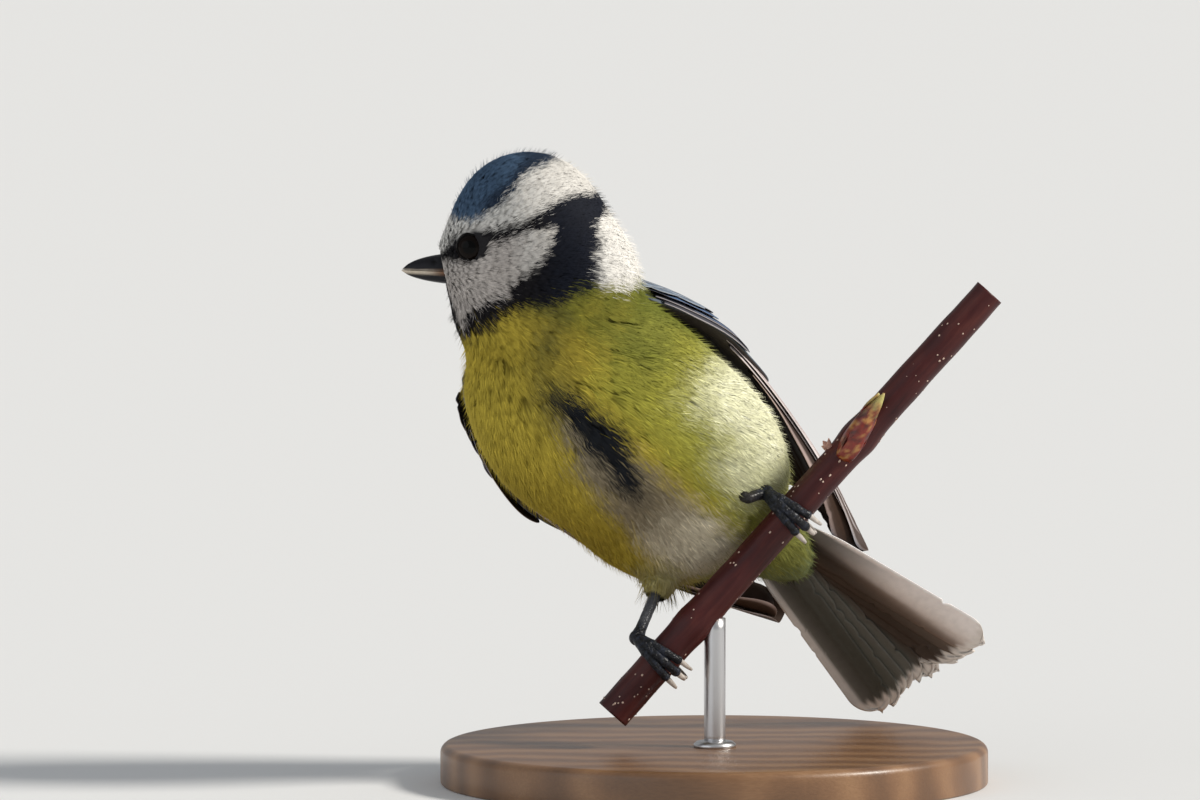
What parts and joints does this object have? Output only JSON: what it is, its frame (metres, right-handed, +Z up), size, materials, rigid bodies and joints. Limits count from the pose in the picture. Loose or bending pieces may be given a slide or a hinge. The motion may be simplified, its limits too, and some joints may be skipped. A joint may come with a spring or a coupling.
{
  "type": "blue tit",
  "caption": "Life-size still model of a blue tit with head turned to its side, gripping a cut length of twig on a round display stand.",
  "frame": {"origin": "centre of the flat underside of the stand's base", "axes": "+Z up, +X to the right of a viewer who faces the bird's breast, +Y away from that viewer"},
  "size_m": [0.0895, 0.082, 0.0953],
  "materials": {
    "head_plumage": "soft short feathers: blue cap, white face, near-black eye-line and collar",
    "neck_plumage": "soft short feathers: near-black collar over yellow",
    "body_plumage": "soft loose feathers: yellow breast and flanks, dark belly streak, olive-green back",
    "wing_plumage": "smooth blue and grey flight feathers with pale edges",
    "tail_plumage": "smooth grey-blue tail feathers with worn pale edges",
    "thigh_plumage": "short pale feathers",
    "eye": "wet dark gloss",
    "bill": "hard satin horn with a pale cutting edge",
    "leg": "scaly slate-blue skin with pale horn claws",
    "twig_bark": "smooth maroon bark with pale dots",
    "bud_scales": "glossy red-brown bud scales with a yellow-green tip",
    "base_wood": "turned and oiled hardwood",
    "rod_steel": "brushed rod"
  },
  "bodies": {
    "root": {"head": "head_plumage", "neck": "neck_plumage", "torso": "body_plumage", "eye_left": "eye", "eye_right": "eye", "bill_upper": "bill", "bill_lower": "bill", "wing_left": "wing_plumage", "wing_right": "wing_plumage", "tail": "tail_plumage", "thigh_left": "thigh_plumage", "thigh_right": "thigh_plumage", "shank_left": "leg", "shank_right": "leg", "foot_left": "leg", "foot_right": "leg", "perch": "twig_bark", "perch_bud": "bud_scales", "stand_base": "base_wood", "stand_rod": "rod_steel"}
  },
  "joints": []
}
